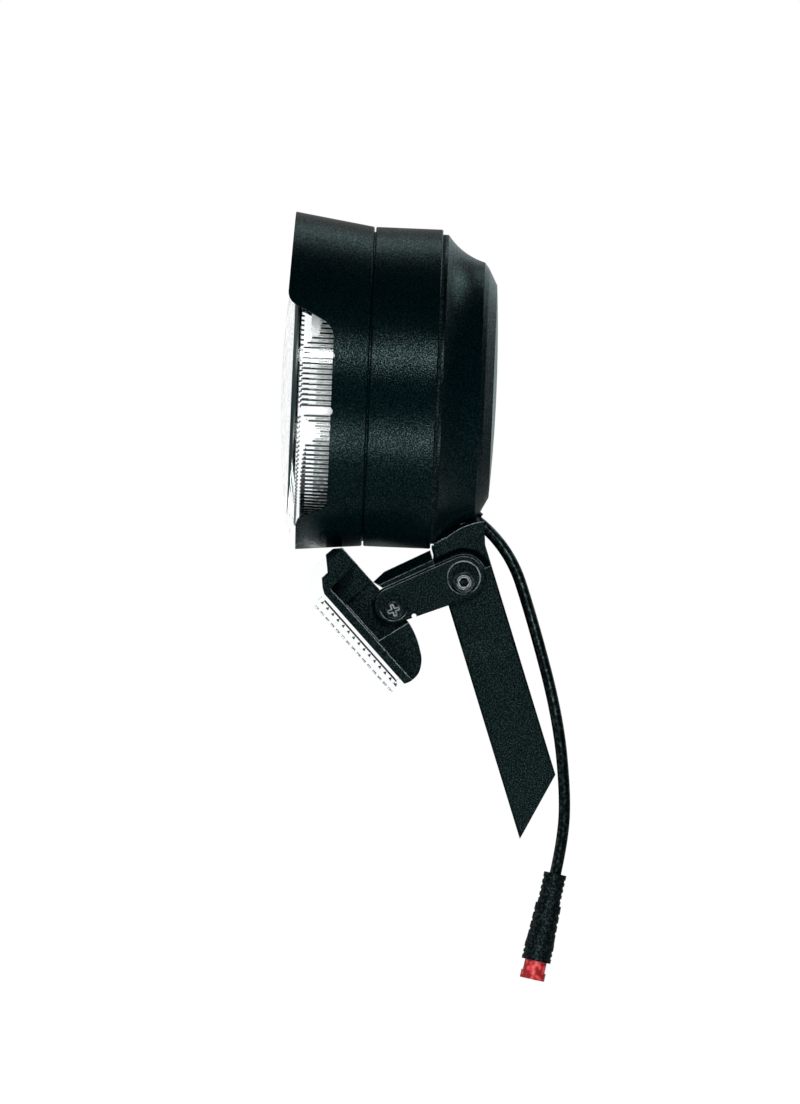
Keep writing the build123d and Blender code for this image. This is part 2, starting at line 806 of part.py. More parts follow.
with BuildPart() as mount_stem:
    with BuildSketch(stem_side):
        with BuildLine():
            Polyline(
                (-half_depth, -foot_rise),
                (half_depth, foot_rise),
                (half_depth, fork_height + fork_back_rise),
                (half_depth + fork_back_flare, fork_height + fork_back_rise + fork_flare_length),
                (half_depth + fork_back_flare, fork_height + fork_top),
                (fork_front_slope[0] - half_depth, fork_height + fork_top),
                (fork_front_slope[0] - half_depth, fork_height + fork_front_rise + fork_front_slope[1]),
                (-half_depth, fork_height + fork_front_rise),
                close=True,
            )
        make_face()
    extrude(amount=fork_outer, both=True)
    with BuildSketch(stem_front):
        with BuildLine():
            Polyline(
                (-stem_width / 2, -stem_depth),
                (stem_width / 2, -stem_depth),
                (stem_width / 2, fork_height - shoulder_below_pivot - shoulder_length),
                (fork_outer, fork_height - shoulder_below_pivot),
                (fork_outer, fork_height + fork_top),
                (-fork_outer, fork_height + fork_top),
                (-fork_outer, fork_height - shoulder_below_pivot),
                (-stem_width / 2, fork_height - shoulder_below_pivot - shoulder_length),
                close=True,
            )
        make_face()
    extrude(amount=2 * stem_depth, both=True, mode=Mode.INTERSECT)
    chamfer(mount_stem.edges().filter_by(on_stem_corner), length=edge_break)
    with BuildSketch(stem_front):
        with Locations((0, fork_height - lug_r - slot_floor_gap)):
            Rectangle(2 * fork_inner, 2 * fork_top + lug_r, align=(Align.CENTER, Align.MIN))
    extrude(amount=2 * stem_depth, both=True, mode=Mode.SUBTRACT)
    with BuildSketch(side):
        with Locations((pivot_y, pivot_z)):
            Circle(pivot_bolt_r + running_gap)
    extrude(amount=2 * fork_outer, both=True, mode=Mode.SUBTRACT)
    with BuildSketch(foot_plane):
        Circle(crown_bore_r)
    extrude(amount=-2 * stem_depth, mode=Mode.SUBTRACT)
    with BuildSketch(foot_plane.offset(-crown_seat_depth)):
        Circle(crown_head_r)
    extrude(amount=-2 * stem_depth, mode=Mode.SUBTRACT)
    add(link_relief.part, mode=Mode.SUBTRACT)
    for step in range(arch_steps):
        add(tilt_envelope.part.rotate(pivot_axis, -tilt_up * step / (arch_steps - 1)), mode=Mode.SUBTRACT)
mount_stem.part.label = "mount_stem"
export_step(mount_stem.part, "parts/mount_stem.step")

# Reflector link: two cheeks outside the fork, joined by a web under the lamp
web_reach = half_depth + stem_pivot_offset + web_gap
web_top = (
    (pivot_below_body - web_gap) * math.cos(lean - slope) + web_reach * math.sin(slope)
) / math.cos(lean)


def web_end(height):
    """How far the web reaches at that height, to stop short of the stem's front."""
    return link_length - (web_reach + height * math.sin(lean - slope)) / math.cos(lean - slope)


nose_along = (lug_nose - pivot_behind_seam) * math.cos(slope) + lug_nose_rise * math.sin(slope) + link_length

with BuildPart() as link_web:
    with BuildSketch(link_side):
        with BuildLine():
            Polyline(
                (web_nose[0], web_top - web_nose[1]),
                (web_brow[0], web_top - web_brow[1]),
                (web_end(web_top), web_top),
                (web_end(web_top - web_depth), web_top - web_depth),
                (web_throat[0], web_top - web_depth),
                (web_throat[1], web_top - web_depth + web_lip),
                close=True,
            )
        make_face()
    extrude(amount=link_inner + link_edge, both=True)
    top_face = link_web.faces().sort_by(Axis(link_side.origin, link_side.y_dir))[-1]
    chamfer(top_face.edges().filter_by(lambda edge: abs(edge.center().X) > link_inner), length=web_shoulder)
    with BuildSketch(link_side):
        with Locations((nose_along - web_gap, web_top)):
            Rectangle(link_length, 2 * web_depth + 2 * web_gap, align=(Align.MIN, Align.CENTER))
    extrude(amount=lug_width / 2 + web_gap, both=True, mode=Mode.SUBTRACT)

with BuildPart() as reflector_link:
    with BuildSketch(link_side.offset(link_inner)):
        with Locations((0, link_rise)):
            Circle(link_screw_end_r)
        with Locations((link_length + link_pivot_end_shift, link_rise)):
            Circle(link_pivot_end_r)
        make_hull()
    extrude(amount=link_plate)
    chamfer(reflector_link.faces().sort_by(Axis.X)[-1].edges(), length=link_edge)
    mirror(about=side)
    add(link_web.part)
    with BuildSketch(link_side):
        with Locations((link_length, 0)):
            Circle(pivot_bolt_r + running_gap)
        Circle(reflector_screw_r + running_gap)
        with Locations(link_notch_centre):
            Circle(link_notch_r)
    extrude(amount=2 * link_outer, both=True, mode=Mode.SUBTRACT)
    with BuildSketch(link_side.offset(head_seat)):
        with Locations((link_length + pivot_recess_centre[0], pivot_recess_centre[1])):
            Circle(pivot_recess_r)
        with Locations(screw_recess_centre):
            Circle(screw_recess_r)
    extrude(amount=link_plate, mode=Mode.SUBTRACT)
    with BuildSketch(link_side.offset(-head_seat)):
        with Locations((link_length, 0)):
            Circle(nut_recess_r)
        Circle(screw_nut_recess_r)
    extrude(amount=-link_plate, mode=Mode.SUBTRACT)
reflector_link.part.label = "reflector_link"
export_step(reflector_link.part, "parts/reflector_link.step")

# Link screw and nut, on which the reflector turns
with BuildPart() as reflector_screw:
    with BuildSketch(link_side.offset(head_seat + running_gap)):
        Circle(reflector_head_r)
    extrude(amount=reflector_head_height)
    fillet(reflector_screw.faces().sort_by(Axis.X)[-1].edges(), radius=reflector_head_round)
    with BuildSketch(link_side.offset(head_seat + running_gap + reflector_head_height)):
        Rectangle(cross_length, cross_width)
        Rectangle(cross_width, cross_length)
    extrude(amount=-cross_depth, mode=Mode.SUBTRACT)
    with BuildSketch(link_side.offset(head_seat + running_gap)):
        Circle(reflector_screw_r)
    extrude(amount=-2 * head_seat - 2 * running_gap - reflector_nut_height - pivot_bolt_beyond_nut)
reflector_screw.part.label = "reflector_screw"
export_step(reflector_screw.part, "parts/reflector_screw.step")

with BuildPart() as reflector_nut:
    with BuildSketch(link_side.offset(-head_seat - running_gap)):
        RegularPolygon(reflector_nut_r, 6)
        Circle(reflector_screw_r + running_gap, mode=Mode.SUBTRACT)
    extrude(amount=-reflector_nut_height)
reflector_nut.part.label = "reflector_nut"
export_step(reflector_nut.part, "parts/reflector_nut.step")

# Front reflector: a clear prismatic lens with a folded upper end, in a black housing with a slot for the link
half_height = reflector_height / 2
lens_back = reflector_lens_depth
body_half = link_outer - body_inset
hub_half = link_inner - side_gap - running_gap


def from_upper(steps):
    """Points given as steps from the plate's upper rear corner."""
    return [(along - half_height, lens_back + back) for along, back in steps]


def from_lower(steps):
    """Points given as steps from the plate's lower rear corner."""
    return [(half_height + along, lens_back + back) for along, back in steps]


plate_view = Plane(origin=plate_origin, x_dir=(1, 0, 0), z_dir=plate_back)
upper_end = -half_height + housing_top[0][0]
lower_end = half_height + max(middle[0] for middle, end in housing_nose) + nose_margin


def plate_blank():
    """The rounded block, seen square to the plate, that the reflector fits in."""
    with BuildPart() as blank:
        with BuildSketch(plate_view):
            with Locations((0, (upper_end + lower_end) / 2)):
                RectangleRounded(reflector_width, lower_end - upper_end, reflector_corner)
        extrude(amount=2 * reflector_depth, both=True)
    return blank.part


with BuildPart() as reflector_lens:
    with BuildSketch(plate_side):
        with BuildLine():
            Polyline(
                (-half_height, 0),
                (half_height, 0),
                *from_lower([(lens_undercut, 0)]),
                *from_upper(wing_inside),
                *from_upper(wing_outside),
                close=True,
            )
        make_face()
    extrude(amount=reflector_width / 2, both=True)
    add(plate_blank(), mode=Mode.INTERSECT)
    with BuildSketch(plate_view.offset(reflector_plate)):
        with Locations((0, (wing_inside[0][0] - reflector_skirt) / 2)):
            RectangleRounded(
                reflector_width - 2 * reflector_skirt,
                reflector_height - wing_inside[0][0] - reflector_skirt,
                reflector_corner - reflector_skirt,
            )
    extrude(amount=lens_back - reflector_plate, mode=Mode.SUBTRACT)
reflector_lens.part.label = "reflector_lens"
export_step(reflector_lens.part, "parts/reflector_lens.step")

with BuildSketch(plate_side) as housing_outline:
    with BuildLine():
        front_line = Polyline(*reversed(from_upper(wing_inside)), *from_lower([(lens_undercut, 0)]))
        arc_start = front_line @ 1
        for middle, end in housing_nose:
            nose_arc = ThreePointArc(arc_start, *from_lower([middle, end]))
            arc_start = nose_arc @ 1
        Polyline(
            arc_start,
            (-half_height + housing_top_end, arc_start.Y),
            *reversed(from_upper(housing_top)),
            front_line @ 0,
        )
    make_face()

rim_back = lens_back + reflector_rim
with BuildSketch(plate_side) as frame_outline:
    add(housing_outline.sketch_local)
    with BuildLine():
        Polyline(
            (2 * upper_end, 0),
            (2 * lower_end, 0),
            (2 * lower_end, rim_back),
            (frame_fold - half_height, rim_back),
            (frame_fold - half_height - reflector_rim, 2 * reflector_depth),
            (2 * upper_end, 2 * reflector_depth),
            close=True,
        )
    make_face(mode=Mode.INTERSECT)

with BuildPart() as reflector_housing:
    extrude(housing_outline.sketch, amount=body_half, dir=(1, 0, 0), both=True)
    extrude(frame_outline.sketch, amount=reflector_width / 2, dir=(1, 0, 0), both=True)
    add(plate_blank(), mode=Mode.INTERSECT)
    for outward in (1, -1):
        with BuildSketch(plate_side.offset(outward * hub_half)):
            with BuildLine():
                Polyline(
                    (slot_top, rim_back + slot_floor),
                    (slot_bottom, rim_back + slot_floor),
                    (slot_bottom + slot_lean, reflector_depth + slot_floor),
                    (slot_top, reflector_depth + slot_floor),
                    close=True,
                )
            make_face()
        extrude(amount=outward * reflector_width, mode=Mode.SUBTRACT)
    with BuildSketch(plate_view.offset(lens_back)):
        Rectangle(2 * hub_half - 2 * reflector_wall, reflector_height - 2 * pocket_margin)
    extrude(amount=pocket_depth, mode=Mode.SUBTRACT)
    with BuildSketch(link_side):
        Circle(reflector_screw_r + running_gap)
    extrude(amount=reflector_width, both=True, mode=Mode.SUBTRACT)
reflector_housing.part.label = "reflector_housing"
export_step(reflector_housing.part, "parts/reflector_housing.step")

# Cable: it leaves the gland under the rear cover, bows beside the foot and hangs to its connector
gland_end = gland_root_point + gland_way * gland_length
route = [gland_end] + [Vector(*point) for point in cable_points]
runs = [(b - a).length for a, b in zip(route, route[1:])]
turns = [(b - a).get_angle(c - b) for a, b, c in zip(route, route[1:], route[2:])]
radii = [
    arc_share * min(before, after) / math.tan(math.radians(turn) / 2)
    for before, after, turn in zip(runs, runs[1:], turns)
]
print("cable radii", [round(radius, 1) for radius in radii])
print("cable runs", [round(run, 1) for run in runs], "turns", [round(turn, 1) for turn in turns])
handover = (route[2] + route[3]) / 2

with BuildPart() as cable_upper:
    with BuildLine() as upper_path:
        FilletPolyline(route[0], route[1], route[2], handover, radius=radii[:2])
    with BuildSketch(Plane(origin=upper_path.line @ 0, z_dir=upper_path.line % 0)):
        Circle(cable_r)
    sweep()
cable_upper.part.label = "cable_upper"
export_step(cable_upper.part, "parts/cable_upper.step")

with BuildPart() as cable_lower:
    with BuildLine() as lower_path:
        FilletPolyline(handover, *route[3:], radius=radii[2:])
    with BuildSketch(Plane(origin=lower_path.line @ 0, z_dir=lower_path.line % 0)):
        Circle(cable_r)
    sweep()
cable_lower.part.label = "cable_lower"
export_step(cable_lower.part, "parts/cable_lower.step")
cable_length = sum(edge.length for edge in upper_path.edges() + lower_path.edges())
cable_volume = cable_upper.part.volume + cable_lower.part.volume
print("cable length", round(cable_length, 2), "volume share", cable_volume / (math.pi * cable_r**2 * cable_length))

# Connector: a ribbed moulded plug with a coloured insert that holds two pins
plug_way = (route[-1] - route[-2]).normalized()
plug_side = Plane(origin=route[-1], x_dir=plug_way, z_dir=(1, 0, 0))
plug_axis = Axis(route[-1], plug_way)


def plug_plane(along):
    """The plane square to the connector's axis, that far from the cable."""
    return Plane(origin=route[-1] + plug_way * along, x_dir=(1, 0, 0), z_dir=plug_way)


def ribbed(start, length, radius, count, taper=0):
    """Outline of a stretch of the plug with evenly spaced grooves, wider by the taper at its end."""
    pitch = length / (count + 1)
    points = [(start, radius)]
    for rib in range(1, count + 1):
        middle = start + rib * pitch
        height = radius + taper * rib / (count + 1)
        points += [
            (middle - plug_rib_width / 2, height),
            (middle - plug_rib_width / 2, height - plug_rib_depth),
            (middle + plug_rib_width / 2, height - plug_rib_depth),
            (middle + plug_rib_width / 2, height),
        ]
    return points + [(start + length, radius + taper)]


collar_start = plug_neck_length + plug_body_length + plug_flare
with BuildPart() as connector_body:
    with BuildSketch(plug_side):
        with BuildLine():
            Polyline(
                (0, 0),
                *ribbed(0, plug_neck_length, plug_neck_r, plug_neck_ribs),
                *ribbed(plug_neck_length, plug_body_length, plug_body_r, plug_body_ribs, plug_body_taper),
                *ribbed(collar_start, plug_length - collar_start, plug_collar_r, plug_collar_ribs),
                (plug_length, 0),
                close=True,
            )
        make_face()
    revolve(axis=plug_axis)
connector_body.part.label = "connector_body"
export_step(connector_body.part, "parts/connector_body.step")

with BuildPart() as connector_insert:
    with BuildSketch(plug_plane(plug_length)):
        Circle(insert_r)
    extrude(amount=insert_length)
    with BuildSketch(plug_plane(plug_length + insert_length - insert_flange_length)):
        Circle(insert_flange_r)
    extrude(amount=insert_flange_length)
    with BuildSketch(plug_plane(plug_length + insert_length)):
        Circle(insert_socket_r)
    extrude(amount=-insert_socket_depth, mode=Mode.SUBTRACT)
connector_insert.part.label = "connector_insert"
export_step(connector_insert.part, "parts/connector_insert.step")

with BuildPart() as connector_pins:
    with BuildSketch(plug_plane(plug_length + insert_length - insert_socket_depth)):
        with GridLocations(plug_pin_spacing, 0, 2, 1):
            Circle(plug_pin_r)
    extrude(amount=plug_pin_length)
connector_pins.part.label = "connector_pins"
export_step(connector_pins.part, "parts/connector_pins.step")
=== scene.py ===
import bmesh
import bpy
import json
import math
from mathutils import Matrix, Vector


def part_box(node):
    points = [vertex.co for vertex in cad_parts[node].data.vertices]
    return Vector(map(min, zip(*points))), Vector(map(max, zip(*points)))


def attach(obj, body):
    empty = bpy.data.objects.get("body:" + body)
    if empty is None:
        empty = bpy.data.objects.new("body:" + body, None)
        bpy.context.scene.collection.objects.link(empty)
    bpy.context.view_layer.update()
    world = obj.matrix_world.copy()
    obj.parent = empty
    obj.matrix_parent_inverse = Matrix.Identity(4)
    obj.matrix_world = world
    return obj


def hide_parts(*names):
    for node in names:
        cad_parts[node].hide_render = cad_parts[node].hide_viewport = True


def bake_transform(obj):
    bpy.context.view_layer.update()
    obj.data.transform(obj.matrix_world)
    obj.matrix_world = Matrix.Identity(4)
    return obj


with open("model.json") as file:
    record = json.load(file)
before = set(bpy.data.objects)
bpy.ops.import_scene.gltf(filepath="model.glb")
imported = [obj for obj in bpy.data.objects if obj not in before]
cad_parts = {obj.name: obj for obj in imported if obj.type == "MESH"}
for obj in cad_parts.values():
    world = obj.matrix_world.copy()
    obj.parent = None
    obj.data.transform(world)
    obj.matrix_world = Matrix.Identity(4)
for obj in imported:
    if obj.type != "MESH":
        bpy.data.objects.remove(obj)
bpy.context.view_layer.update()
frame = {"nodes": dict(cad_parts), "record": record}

# Lengths are in metres, apart from the lists that say millimetres
MM = 0.001

# Camera, square to the light's side, far away and rolled a little
PHOTO_HEIGHT_PX = 1104
PX_PER_MM = 3.3
AIM = Vector((0.0, -44.86 * MM, 75.31 * MM))
CAMERA_DISTANCE = 6.0
CAMERA_ROLL = math.radians(2.4)
SENSOR_MM = 36.0

# Floor, surroundings and panels; a span is the part of a direction over which the room's brightness changes
WHITE = (1.0, 1.0, 1.0)
FLOOR_DROP = 0.22
FLOOR_SIZE = 12.0
FLOOR_COLOUR = (0.9, 0.9, 0.9)
FLOOR_ROUGHNESS = 0.9
ROOM_FRONT = 0.012
ROOM_BEHIND = 0.3
ROOM_BEHIND_SPAN = (0.1, -0.7)
ROOM_AHEAD = 0.6
ROOM_AHEAD_SPAN = (-0.6, -0.95)
PALE_CYAN = (0.7, 1.0, 1.0)
HALF_A_BOUNCE = 0.5

# Cable, with the control points of its route from the gland to the connector, in millimetres
CABLE_DIAMETER = 3.5 * MM
CABLE_ROUTE = [
    (0.0, -21.743, 85.585),
    (0.0, -12.035, 78.531),
    (4.6, -3.75, 56.0),
    (9.6, 4.9, 27.6),
    (11.6, 8.1, 5.0),
    (11.9, 8.1, -9.0),
    (11.9, 6.15, -19.9),
]
CABLE_ORDER = 3
CABLE_STEPS = 24
CABLE_ROUNDNESS = 6

# The lamp's axis, its seam and its mirror bowl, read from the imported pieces
BODY_LENGTH = 20.6 * MM
lens_low, lens_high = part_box("front_lens")
LAMP_Z = (lens_low.z + lens_high.z) / 2
LAMP_CENTRE = (0.0, 0.0, LAMP_Z)
ACROSS_LAMP = (1.0, 0.0, 1.0)
SEAM_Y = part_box("main_housing")[1].y - BODY_LENGTH
BOWL_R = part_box("reflector_bowl")[1].x
MIRROR_DEPTH = 0.7 * MM

# Hinges of the stem and the reflector, and the round recess about the pivot bolt, a little higher than it;
# every edge within its reach gets a painted highlight
HINGES = {joint["name"]: joint["pos_m"] for joint in frame["record"]["behaviour"]["joints"]}
RECESS_RISE = 1.7 * MM
RECESS_CENTRE = Vector(HINGES["head_tilt"]) + Vector((0.0, 0.0, RECESS_RISE))
RECESS_REACH = 5.1 * MM
ACROSS_PIVOT = (0.0, 1.0, 1.0)

# Ribs inside the lens wall, with finer ones and dots half way between them; a rib starts as a block of
# unit length. The ribs and dots are dark, painted shade for the dark lines that refraction draws in the
# wall
RIB_COUNT = 170
RIB_PHASE = math.radians(0.62)
HALF_WAY_PHASE = RIB_PHASE + math.pi / RIB_COUNT
RIB_R = 43.15 * MM
RIB_WIDTH = 0.46 * MM
FINE_RIB_WIDTH = RIB_WIDTH / 3
RIB_DEPTH = 0.42 * MM
RIB_UNIT = 1.0 * MM
RIB_BACK = 5.6 * MM
DOT_BACK = 20.5 * MM

# Heights from the lamp's axis with the ribs' length there, and heights with the half width of a stretch
# without ribs, all in millimetres. The ribs are shorter where a highlight on the lens washes out the dark
# lines, a painted highlight
RIB_REACH = [
    (-45, 13.6), (-20, 13.2), (-17.5, 11.0), (-15.5, 8.4), (-13, 10.2), (-9.8, 13.6), (-7, 14.8),
    (9, 14.8), (11, 14.0), (13.5, 12.2), (15.5, 9.6), (45, 9.6),
]
FINE_RIB_REACH = [(-45, 10.0), (45, 10.0)]
DOT_REACH = [(-45, 0.5), (45, 0.5)]
RIB_GAPS = [(8.35, 0.9), (-8.1, 1.3)]

# Painted shade on the lens's front corner, a dark band for the darkness that refraction gives near the
# front rim; below a height its back edge runs forward
RIM_SHADE_BACK = 21.65 * MM
RIM_SHADE_INNER_R = 43.9 * MM
RIM_SHADE_TAPER_START = 12.0 * MM
RIM_SHADE_TAPER = 0.05
RIM_SHADE_COLOUR = (0.012, 0.035, 0.036)
RIM_SHADE_ROUGHNESS = 0.3

# The reflector's tilted plate: its origin lies ahead of the link's screw and a little up the plate
PLATE_TILT = math.radians(45.9)
PLATE_DOWN = Vector((0.0, math.cos(PLATE_TILT), -math.sin(PLATE_TILT)))
PLATE_BACK = Vector((0.0, math.sin(PLATE_TILT), math.cos(PLATE_TILT)))
SCREW_DOWN = 1.42 * MM
SCREW_BACK = 17.03 * MM
REFLECTOR_SCREW = Vector(HINGES["reflector_tilt"])
PLATE_ORIGIN = REFLECTOR_SCREW - PLATE_DOWN * SCREW_DOWN - PLATE_BACK * SCREW_BACK

# Prisms, ridges and a dark loop of painted gap shade on that plate, with places measured down it and behind
# it
PRISM_PITCH = 2.38 * MM
PRISM_COLUMNS = 18
PRISM_ROWS = 15
PRISM_CENTRE = 2.0 * MM
PRISM_SIZE = (1.1 * MM, 1.1 * MM, 0.8 * MM)
PRISM_BACK = 2.2 * MM
RIDGE_PITCH = 22.0 * MM
RIDGE_COLUMNS = 2
RIDGE_SIZE = (21.6 * MM, 1.45 * MM, 0.3 * MM)
RIDGE_BACK = 0.2 * MM
GAP_SHADE_HALF = 22.3 * MM
GAP_SHADE_TOP = -14.7 * MM
GAP_SHADE_BOTTOM = 18.0 * MM
GAP_SHADE_BACK = 3.35 * MM
GAP_SHADE_THICK = 0.35 * MM

# Moulded surfaces: the tint of their gloss, the grain and edges of some, and the grain's shades and sparkle
# as shares of a finish's own colour and gloss
COOL = (0.65, 1.0, 1.0)
MOULD_GRAIN = 2300.0
MOULD_SPECK = 0.5
MOULD_EDGE = 0.25 * MM
PLUG_EDGE = 0.15 * MM
STEEL_EDGE = 0.2 * MM
GRAIN_SHADES = (0.55, 1.6)
GRAIN_SHADE_SPAN = (0.35, 0.7)
GRAIN_SPARKLE = (0.5, 3.0)
GRAIN_SPARKLE_SPAN = (0.45, 0.75)
GRAIN_DEPTH = 0.1 * MM
GRAINS_PER_PATCH = 25
PATCH_SPREAD = 0.06
EDGE_SAMPLES = 6

# Pale edges, partly wear and partly a painted highlight where light from above would catch them: how far
# the rounded face turns from the flat one, how much further up it points where the mark is full, and how
# broken the mark is
WEAR_AND_HIGHLIGHT_TURN_SPAN = (0.99, 0.93)
HIGHLIGHT_RISE = 0.3
WEAR_AND_HIGHLIGHT_PATCHES = 700.0
WEAR_AND_HIGHLIGHT_PATCH_SPAN = (0.3, 0.5)
STEM_WEAR_AND_HIGHLIGHT = (0.6, 0.7, 0.7)
STEM_WEAR_AND_HIGHLIGHT_RADIUS = 0.45 * MM
STEM_WEAR_AND_HIGHLIGHT_LOWEST = 0.15
STEEL_WEAR_AND_HIGHLIGHT = (0.8, 0.88, 0.88)
STEEL_WEAR_AND_HIGHLIGHT_RADIUS = 0.5 * MM
EVERY_WAY = -1.4

# Bare metal and clear plastic; a spread is how far the roughness strays
METAL_SHADES = (0.8, 1.15)
METAL_SCRATCHES = 900.0
METAL_SPREAD = 0.08
METAL_SMOOTHEST = 0.02
CLEAR_COLOUR = (0.985, 1.0, 1.0)
CLEAR_IOR = 1.02
CLEAR_GLOSS = 0.3
CLEAR_FLOW = 60.0
CLEAR_FLOW_STRENGTH = 0.03
CLEAR_FLOW_DEPTH = 0.3 * MM


def add_node(tree, kind, inputs, **settings):
    """A new node with its settings and inputs; an input is a plain value or another node's output."""
    node = tree.nodes.new(kind)
    for name, value in settings.items():
        setattr(node, name, value)
    for name, value in inputs.items():
        if isinstance(value, bpy.types.NodeSocket):
            tree.links.new(value, node.inputs[name])
        else:
            node.inputs[name].default_value = value
    return node


def maths(tree, operation, *values):
    """The outcome of one step of arithmetic."""
    return add_node(tree, "ShaderNodeMath", dict(enumerate(values)), operation=operation).outputs["Value"]


def ranged(tree, value, span, low=0.0, high=1.0, change="LINEAR"):
    """A value carried from its span to between low and high, and held there outside the span."""
    limits = {"From Min": span[0], "From Max": span[1], "To Min": low, "To Max": high}
    node = add_node(tree, "ShaderNodeMapRange", {"Value": value, **limits}, interpolation_type=change)
    return node.outputs["Result"]


def parts_of(tree, vector):
    """The outputs X, Y and Z of a vector."""
    return add_node(tree, "ShaderNodeSeparateXYZ", {"Vector": vector}).outputs


def place_of(tree):
    """The place of a point on its piece."""
    return tree.nodes.new("ShaderNodeTexCoord").outputs["Object"]


def noise(tree, scale, detail=2.0):
    """Noise that stays with the piece."""
    values = {"Vector": place_of(tree), "Scale": scale, "Detail": detail}
    return add_node(tree, "ShaderNodeTexNoise", values).outputs["Fac"]


def distance_from(tree, centre, axes):
    """Distance of a point from a centre, along the axes that are 1."""
    inputs = {0: place_of(tree), 1: axes, 2: tuple(-value * axis for value, axis in zip(centre, axes))}
    offset = add_node(tree, "ShaderNodeVectorMath", inputs, operation="MULTIPLY_ADD").outputs["Vector"]
    return add_node(tree, "ShaderNodeVectorMath", {0: offset}, operation="LENGTH").outputs["Value"]


def shaded(tree, value, shades, span):
    """The first to the second of two shades over the value's span."""
    ramp = add_node(tree, "ShaderNodeValToRGB", {"Fac": value})
    for stop, position, shade in zip(ramp.color_ramp.elements, span, shades):
        stop.position = position
        stop.color = (*shade, 1.0)
    return ramp.outputs["Color"]


def rounded_edge(tree, radius):
    """The way that a face points once its edges are rounded."""
    return add_node(tree, "ShaderNodeBevel", {"Radius": radius}, samples=EDGE_SAMPLES).outputs["Normal"]


def new_finish(name):
    """A material with its node tree and its shader."""
    material = bpy.data.materials.new(name)
    material.use_nodes = True
    return material, material.node_tree, material.node_tree.nodes["Principled BSDF"]


def moulded(name, colour, gloss, roughness, grain, speck, edge=0.0, tint=COOL):
    """Plastic, rubber or paint with a fine grain, broad patches of roughness and softly rounded edges."""
    material, tree, shader = new_finish(name)
    fine = noise(tree, grain, detail=0.0)
    broad = noise(tree, grain / GRAINS_PER_PATCH, detail=3.0)
    shades = [[part * share for part in colour] for share in GRAIN_SHADES]
    patches = ranged(tree, broad, (0.0, 1.0), roughness - PATCH_SPREAD, roughness + PATCH_SPREAD)
    sparkle = ranged(tree, fine, GRAIN_SPARKLE_SPAN, gloss * GRAIN_SPARKLE[0], gloss * GRAIN_SPARKLE[1])
    bump = add_node(tree, "ShaderNodeBump", {"Strength": speck, "Distance": GRAIN_DEPTH, "Height": fine})
    if edge:
        tree.links.new(rounded_edge(tree, edge), bump.inputs["Normal"])
    tree.links.new(shaded(tree, fine, shades, GRAIN_SHADE_SPAN), shader.inputs["Base Color"])
    tree.links.new(patches, shader.inputs["Roughness"])
    tree.links.new(bump.outputs["Normal"], shader.inputs["Normal"])
    # The socket's own value is the plain level, for a renderer that can't follow the sparkle
    shader.inputs["Specular IOR Level"].default_value = gloss
    tree.links.new(sparkle, shader.inputs["Specular IOR Level"])
    shader.inputs["Specular Tint"].default_value = (*tint, 1.0)
    return material


def wear_and_highlight_edges(material, radius, colour, lowest, around=0.0):
    """Paler colour on edges that point higher than lowest, and on all edges around the pivot's recess:
    partly wear, partly a painted highlight.
    """
    tree = material.node_tree
    base = tree.nodes["Principled BSDF"].inputs["Base Color"]
    plain = base.links[0].from_socket
    edge = rounded_edge(tree, radius)
    flat = tree.nodes.new("ShaderNodeNewGeometry").outputs["True Normal"]
    turn = add_node(tree, "ShaderNodeVectorMath", {0: edge, 1: flat}, operation="DOT_PRODUCT")
    on_edge = ranged(tree, turn.outputs["Value"], WEAR_AND_HIGHLIGHT_TURN_SPAN)
    broken = ranged(tree, noise(tree, WEAR_AND_HIGHLIGHT_PATCHES), WEAR_AND_HIGHLIGHT_PATCH_SPAN)
    # Edges that point up get the mark, a painted highlight from the light above; near the recess every edge
    # gets it, a painted highlight on the recess rim
    lit_way = ranged(tree, parts_of(tree, edge)["Z"], (lowest, lowest + HIGHLIGHT_RISE))
    if around:
        near = maths(tree, "LESS_THAN", distance_from(tree, RECESS_CENTRE, ACROSS_PIVOT), around)
        lit_way = maths(tree, "MAXIMUM", lit_way, near)
    share = maths(tree, "MULTIPLY", maths(tree, "MULTIPLY", on_edge, lit_way), broken)
    colours = {"Factor": share, "A": plain, "B": (*colour, 1.0)}
    tree.links.new(add_node(tree, "ShaderNodeMix", colours, data_type="RGBA").outputs["Result"], base)


def metal(name, colour, roughness):
    """Metal with fine scratches in its colour and gloss."""
    material, tree, shader = new_finish(name)
    scratches = noise(tree, METAL_SCRATCHES, detail=4.0)
    smoothest = max(METAL_SMOOTHEST, roughness - METAL_SPREAD)
    shades = [[min(1.0, part * share) for part in colour] for share in METAL_SHADES]
    shader.inputs["Metallic"].default_value = 1.0
    tree.links.new(shaded(tree, scratches, shades, (0.0, 1.0)), shader.inputs["Base Color"])
    gloss = ranged(tree, scratches, (0.0, 1.0), smoothest, roughness + METAL_SPREAD)
    tree.links.new(gloss, shader.inputs["Roughness"])
    return material


def mirror_bowl():
    """The bowl is a mirror inside; its outer skirt is plain white, a painted reflection of the bright
    surroundings that the mirror would show there.
    """
    material = metal("mirror coating", (0.9, 0.92, 0.92), roughness=0.06)
    tree = material.node_tree
    radius = distance_from(tree, LAMP_CENTRE, ACROSS_LAMP)
    # Outside this radius the bowl is white: painted reflection, not a coating edge
    coated = maths(tree, "LESS_THAN", radius, BOWL_R - MIRROR_DEPTH)
    tree.links.new(coated, tree.nodes["Principled BSDF"].inputs["Metallic"])
    return material


